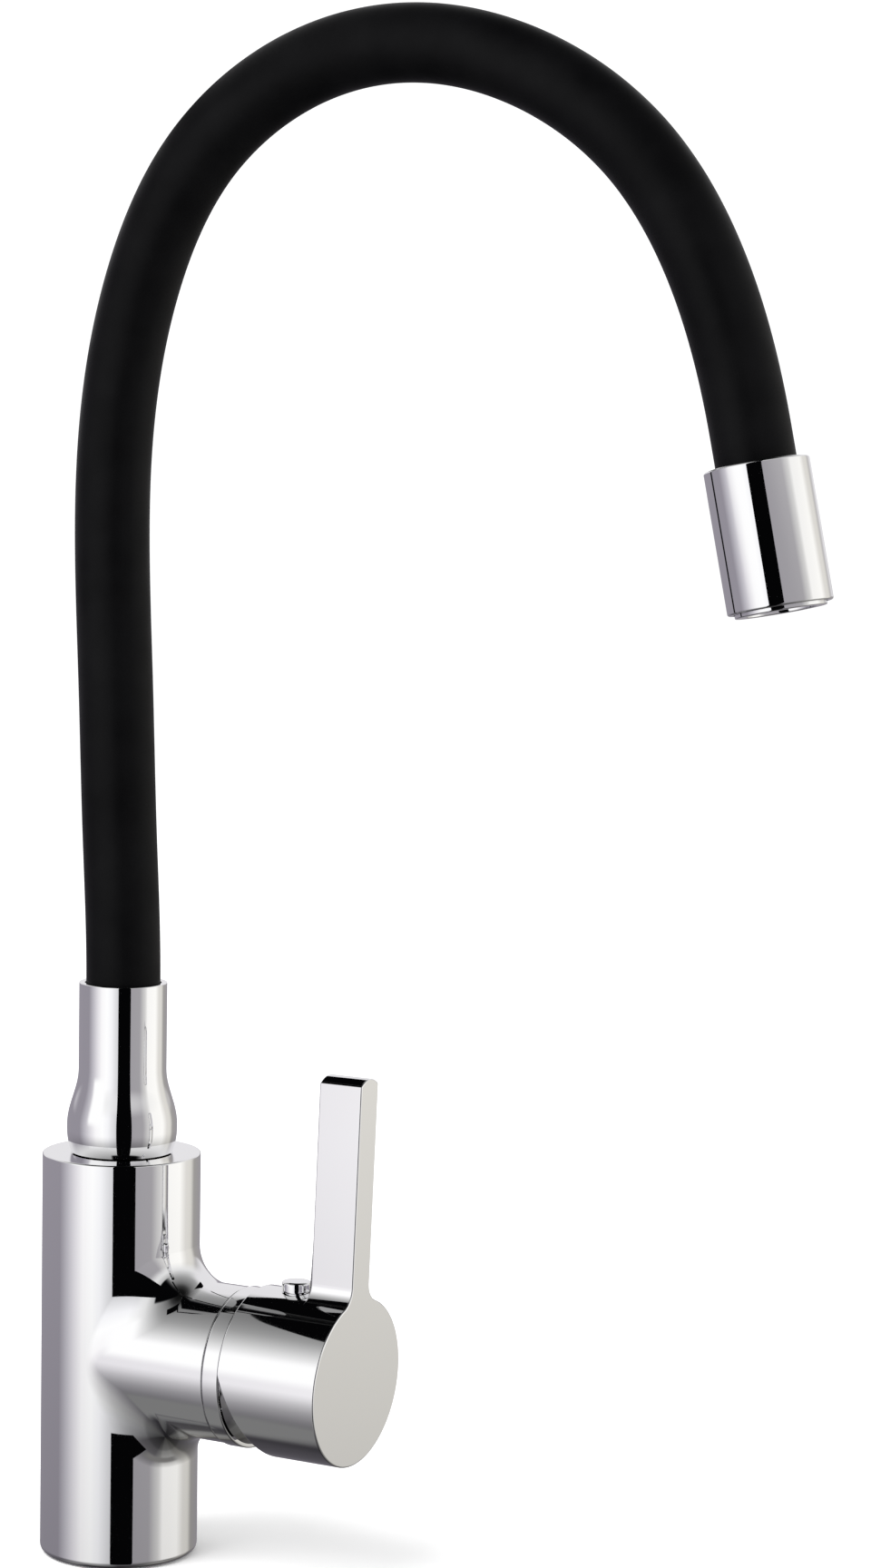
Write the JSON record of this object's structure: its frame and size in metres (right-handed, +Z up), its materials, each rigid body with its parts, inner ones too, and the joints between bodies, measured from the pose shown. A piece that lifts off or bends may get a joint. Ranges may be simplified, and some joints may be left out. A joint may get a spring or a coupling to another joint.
{
  "type": "flexible kitchen faucet",
  "caption": "Single-lever kitchen mixer with a side handle and a bendable black hose arching over from a bright swivel base to a short bright outlet.",
  "frame": {"origin": "middle of the base, at the level of the worktop", "axes": "+Z up, +X towards the outlet and the handle, +Y to the left of someone who looks along +X"},
  "size_m": [0.2412, 0.048, 0.4437],
  "materials": {
    "polished_chrome": "polished chrome plate over cast and turned brass",
    "machined_brass": "machined, unplated",
    "stainless": "stainless steel, as drawn",
    "black_silicone": "satin black silicone sleeve",
    "black_rubber": "matt black seal rubber",
    "ceramic": "lapped ceramic",
    "grey_plastic": "moulded, matt",
    "white_plastic": "moulded, matt"
  },
  "bodies": {
    "faucet": {"faucet_body": "polished_chrome", "base_plate": "grey_plastic", "base_gasket": "black_rubber", "cartridge_base": "white_plastic", "port_seal_hot": "black_rubber", "port_seal_cold": "black_rubber", "port_seal_outlet": "black_rubber", "fixed_disc": "ceramic", "cartridge_housing": "white_plastic", "cartridge_nut": "machined_brass", "trim_dome": "polished_chrome", "spout_slip_ring": "black_rubber", "snap_ring": "stainless"},
    "valve_rotor": {"cartridge_rotor": "white_plastic", "pivot_pin": "stainless"},
    "valve_disc": {"moving_disc": "ceramic", "disc_carrier": "grey_plastic"},
    "lever": {"cartridge_stem": "machined_brass", "handle": "polished_chrome", "set_screw": "stainless", "indicator_plug": "polished_chrome"},
    "spout": {"spout_base": "polished_chrome", "spout_nipple": "machined_brass", "o_ring_upper": "black_rubber", "o_ring_lower": "black_rubber", "hose_ferrule_lower": "machined_brass", "hose_sleeve_1": "black_silicone", "hose_liner_1": "stainless"},
    "hose_2": {"hose_sleeve_2": "black_silicone", "hose_liner_2": "stainless"},
    "hose_3": {"hose_sleeve_3": "black_silicone", "hose_liner_3": "stainless"},
    "hose_4": {"hose_sleeve_4": "black_silicone", "hose_liner_4": "stainless"},
    "hose_5": {"hose_sleeve_5": "black_silicone", "hose_liner_5": "stainless"},
    "outlet": {"hose_sleeve_6": "black_silicone", "hose_liner_6": "stainless", "hose_ferrule_upper": "machined_brass", "outlet_adaptor": "machined_brass", "outlet_shell": "polished_chrome", "aerator_washer": "black_rubber", "aerator_housing": "polished_chrome", "aerator_insert": "grey_plastic"}
  },
  "joints": [
    {"name": "handle_turn", "type": "hinge", "parent": "faucet", "child": "valve_rotor", "pos_m": [0.03, 0, 0.0602], "axis": [1, 0, 0], "range_deg": [-45, 45]},
    {"name": "disc_slide", "type": "slide", "parent": "valve_rotor", "child": "valve_disc", "axis": [0, 0, 1], "range_m": [0, 0.0032]},
    {"name": "handle_lift", "type": "hinge", "parent": "valve_rotor", "child": "lever", "pos_m": [0.03, 0, 0.0602], "axis": [0, 1, 0], "range_deg": [0, 20]},
    {"name": "spout_swivel", "type": "hinge", "parent": "faucet", "child": "spout", "pos_m": [0, 0, 0.118], "axis": [0, 0, 1], "continuous": true},
    {"name": "hose_bend_1", "type": "hinge", "parent": "spout", "child": "hose_2", "pos_m": [-0.00297, 0, 0.24077], "axis": [0, 1, 0], "range_deg": [-12, 12]},
    {"name": "hose_bend_2", "type": "hinge", "parent": "hose_2", "child": "hose_3", "pos_m": [-0.0042, 0, 0.32591], "axis": [0.9962, 0, -0.0872], "range_deg": [-15, 15]},
    {"name": "hose_bend_3", "type": "hinge", "parent": "hose_3", "child": "hose_4", "pos_m": [0.02429, 0, 0.40476], "axis": [0, 1, 0], "range_deg": [-20, 20]},
    {"name": "hose_bend_4", "type": "hinge", "parent": "hose_4", "child": "hose_5", "pos_m": [0.10145, 0, 0.43212], "axis": [-0.139, 0, -0.9903], "range_deg": [-20, 20]},
    {"name": "hose_bend_5", "type": "hinge", "parent": "hose_5", "child": "outlet", "pos_m": [0.17169, 0, 0.38841], "axis": [0, 1, 0], "range_deg": [-25, 25]}
  ],
  "couplings": [
    {"joint": "disc_slide", "follows": "handle_lift", "m_per_rad": 0.009}
  ]
}
